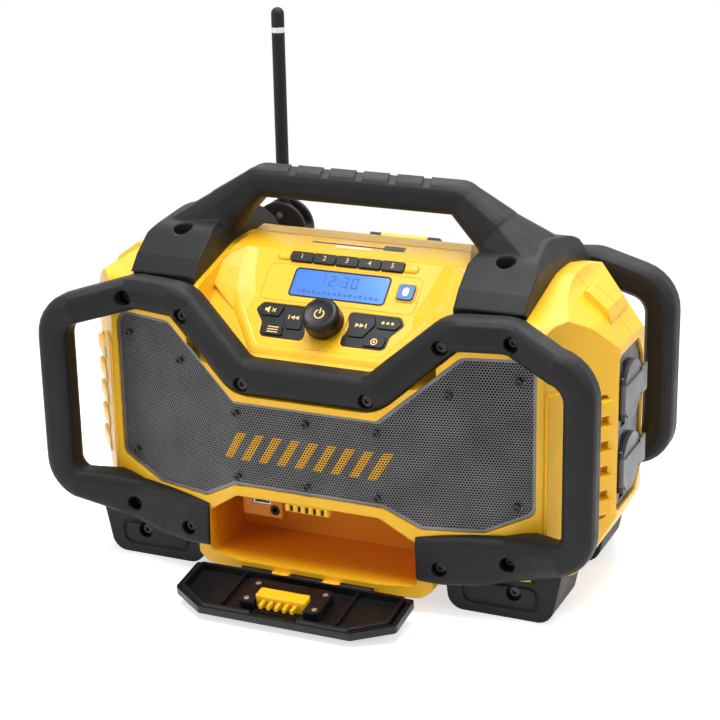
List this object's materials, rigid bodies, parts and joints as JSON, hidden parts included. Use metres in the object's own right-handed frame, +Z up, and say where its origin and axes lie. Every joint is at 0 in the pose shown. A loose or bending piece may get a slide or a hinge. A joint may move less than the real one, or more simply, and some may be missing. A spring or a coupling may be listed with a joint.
{
  "type": "jobsite radio",
  "caption": "Rugged portable radio in a roll-bar frame with a carry handle, folded grille, tilted control panel, drop-down cable bin and folding aerial.",
  "frame": {"origin": "on the standing plane, under the middle of the radio with its cable door open", "axes": "+X to the right seen from the front, +Y to the back, +Z up; the front faces -Y"},
  "size_m": [0.422, 0.2778, 0.385],
  "materials": {
    "yellow_shell": "moulded yellow shell with a fine grain",
    "black_rubber": "soft black over-moulding, finely grained",
    "black_plastic": "black moulded plastic",
    "grille_steel": "dark painted perforated steel",
    "grey_plastic": "grey moulded plastic",
    "display_blue": "clear window over a blue display",
    "pairing_blue": "blue rubber key",
    "screw_black": "black coated screws",
    "bright_steel": "plain steel",
    "board_green": "circuit board",
    "speaker_black": "speaker frame, cone and magnet"
  },
  "bodies": {
    "housing": {"housing_front": "yellow_shell", "housing_rear": "yellow_shell", "grille": "grille_steel", "front_guard": "black_rubber", "rear_guard_right": "black_rubber", "rear_guard_left": "black_rubber", "carry_handle": "black_rubber", "foot_front_right": "black_rubber", "foot_front_left": "black_rubber", "foot_rear_right": "black_rubber", "foot_rear_left": "black_rubber", "door_hinge_pin": "bright_steel", "display_lens": "display_blue", "display_module": "black_plastic", "keypad_right": "black_rubber", "keypad_left": "black_rubber", "aerial_base": "black_rubber", "aerial_pin": "bright_steel", "battery_door_pin": "bright_steel", "battery_dock": "black_plastic", "outlet_panel": "grey_plastic", "outlet_cover_pins": "bright_steel", "outlet_socket_upper": "black_plastic", "outlet_socket_lower": "black_plastic", "speaker_right": "speaker_black", "speaker_left": "speaker_black", "main_board": "board_green", "charger_module": "black_plastic", "usb_socket": "bright_steel", "aux_socket": "black_plastic", "mains_inlet": "black_plastic", "guard_screws": "screw_black", "grille_screws": "screw_black", "foot_screws": "screw_black", "handle_screws": "screw_black"},
    "storage_door": {"storage_door": "black_plastic", "door_latch_cover": "black_plastic", "door_latch_screws": "bright_steel"},
    "door_latch": {"door_latch": "yellow_shell"},
    "encoder": {"volume_encoder": "bright_steel"},
    "knob": {"volume_knob": "black_rubber"},
    "aerial": {"aerial_whip": "black_rubber", "aerial_ring": "bright_steel", "aerial_cap": "black_rubber"},
    "battery_door": {"battery_door": "black_plastic"},
    "battery_latch": {"battery_latch": "yellow_shell"},
    "outlet_cover_upper": {"outlet_cover_upper": "grey_plastic"},
    "outlet_cover_lower": {"outlet_cover_lower": "grey_plastic"},
    "preset_key_1": {"preset_key_1": "black_rubber"},
    "preset_key_2": {"preset_key_2": "black_rubber"},
    "preset_key_3": {"preset_key_3": "black_rubber"},
    "preset_key_4": {"preset_key_4": "black_rubber"},
    "preset_key_5": {"preset_key_5": "black_rubber"},
    "pairing_key": {"pairing_key": "pairing_blue"},
    "key_mute": {"key_mute": "black_rubber"},
    "key_menu": {"key_menu": "black_rubber"},
    "key_previous": {"key_previous": "black_rubber"},
    "key_next": {"key_next": "black_rubber"},
    "key_mode": {"key_mode": "black_rubber"},
    "key_enter": {"key_enter": "black_rubber"}
  },
  "joints": [
    {"name": "storage_door_hinge", "type": "hinge", "parent": "housing", "child": "storage_door", "pos_m": [0, -0.08295, 0.0154], "axis": [-1, 0, 0], "range_deg": [0, 98]},
    {"name": "door_latch_slide", "type": "slide", "parent": "storage_door", "child": "door_latch", "axis": [0, -0.9903, -0.1392], "range_m": [0, 0.004]},
    {"name": "volume_press", "type": "slide", "parent": "housing", "child": "encoder", "axis": [0, 0.673, -0.7396], "range_m": [0, 0.0015], "stiffness_N_per_m": 600},
    {"name": "volume_turn", "type": "hinge", "parent": "encoder", "child": "knob", "pos_m": [0, -0.03815, 0.1932], "axis": [0, -0.673, 0.7396], "continuous": true},
    {"name": "aerial_fold", "type": "hinge", "parent": "housing", "child": "aerial", "pos_m": [-0.109, 0.12135, 0.224], "axis": [0, 1, 0], "range_deg": [0, 90]},
    {"name": "battery_door_hinge", "type": "hinge", "parent": "housing", "child": "battery_door", "pos_m": [0, 0.11635, 0.062], "axis": [-1, 0, 0], "range_deg": [0, 95]},
    {"name": "battery_latch_slide", "type": "slide", "parent": "battery_door", "child": "battery_latch", "axis": [0, 0, 1], "range_m": [0, 0.003], "stiffness_N_per_m": 400},
    {"name": "outlet_cover_upper_hinge", "type": "hinge", "parent": "housing", "child": "outlet_cover_upper", "pos_m": [0.2049, -0.00155, 0.152], "axis": [0, 0, -1], "range_deg": [0, 110], "stiffness_Nm_per_rad": 0.02, "springref_deg": -17.19},
    {"name": "outlet_cover_lower_hinge", "type": "hinge", "parent": "housing", "child": "outlet_cover_lower", "pos_m": [0.2049, -0.00155, 0.098], "axis": [0, 0, -1], "range_deg": [0, 110], "stiffness_Nm_per_rad": 0.02, "springref_deg": -17.19},
    {"name": "preset_key_1_press", "type": "slide", "parent": "housing", "child": "preset_key_1", "axis": [0, 0.673, -0.7396], "range_m": [0, 0.0012], "stiffness_N_per_m": 500},
    {"name": "preset_key_2_press", "type": "slide", "parent": "housing", "child": "preset_key_2", "axis": [0, 0.673, -0.7396], "range_m": [0, 0.0012], "stiffness_N_per_m": 500},
    {"name": "preset_key_3_press", "type": "slide", "parent": "housing", "child": "preset_key_3", "axis": [0, 0.673, -0.7396], "range_m": [0, 0.0012], "stiffness_N_per_m": 500},
    {"name": "preset_key_4_press", "type": "slide", "parent": "housing", "child": "preset_key_4", "axis": [0, 0.673, -0.7396], "range_m": [0, 0.0012], "stiffness_N_per_m": 500},
    {"name": "preset_key_5_press", "type": "slide", "parent": "housing", "child": "preset_key_5", "axis": [0, 0.673, -0.7396], "range_m": [0, 0.0012], "stiffness_N_per_m": 500},
    {"name": "pairing_key_press", "type": "slide", "parent": "housing", "child": "pairing_key", "axis": [0, 0.673, -0.7396], "range_m": [0, 0.0012], "stiffness_N_per_m": 500},
    {"name": "key_mute_press", "type": "slide", "parent": "housing", "child": "key_mute", "axis": [0, 0.673, -0.7396], "range_m": [0, 0.0012], "stiffness_N_per_m": 500},
    {"name": "key_menu_press", "type": "slide", "parent": "housing", "child": "key_menu", "axis": [0, 0.673, -0.7396], "range_m": [0, 0.0012], "stiffness_N_per_m": 500},
    {"name": "key_previous_press", "type": "slide", "parent": "housing", "child": "key_previous", "axis": [0, 0.673, -0.7396], "range_m": [0, 0.0012], "stiffness_N_per_m": 500},
    {"name": "key_next_press", "type": "slide", "parent": "housing", "child": "key_next", "axis": [0, 0.673, -0.7396], "range_m": [0, 0.0012], "stiffness_N_per_m": 500},
    {"name": "key_mode_press", "type": "slide", "parent": "housing", "child": "key_mode", "axis": [0, 0.673, -0.7396], "range_m": [0, 0.0012], "stiffness_N_per_m": 500},
    {"name": "key_enter_press", "type": "slide", "parent": "housing", "child": "key_enter", "axis": [0, 0.673, -0.7396], "range_m": [0, 0.0012], "stiffness_N_per_m": 500}
  ]
}
